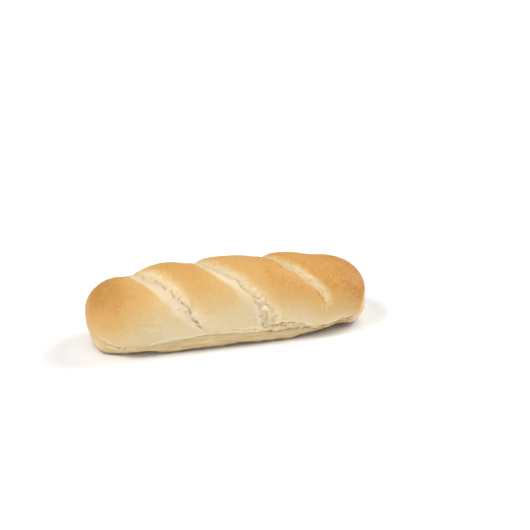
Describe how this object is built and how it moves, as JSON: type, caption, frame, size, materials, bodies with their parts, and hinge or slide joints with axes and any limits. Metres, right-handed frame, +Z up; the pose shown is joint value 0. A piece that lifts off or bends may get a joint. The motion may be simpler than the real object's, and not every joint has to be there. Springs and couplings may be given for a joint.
{
  "type": "hoagie roll",
  "caption": "Long soft white bread roll with round ends and slanting cuts that tore open across its golden top, over a pale heel and a flat base.",
  "frame": {"origin": "middle of the flat base, on the surface the roll rests on", "axes": "+X along the roll, towards the end where the crust overhangs the heel most, +Y to its back, +Z up"},
  "size_m": [0.1798, 0.061, 0.0477],
  "materials": {
    "crust": null
  },
  "bodies": {
    "root": {"roll": "crust"}
  },
  "joints": []
}
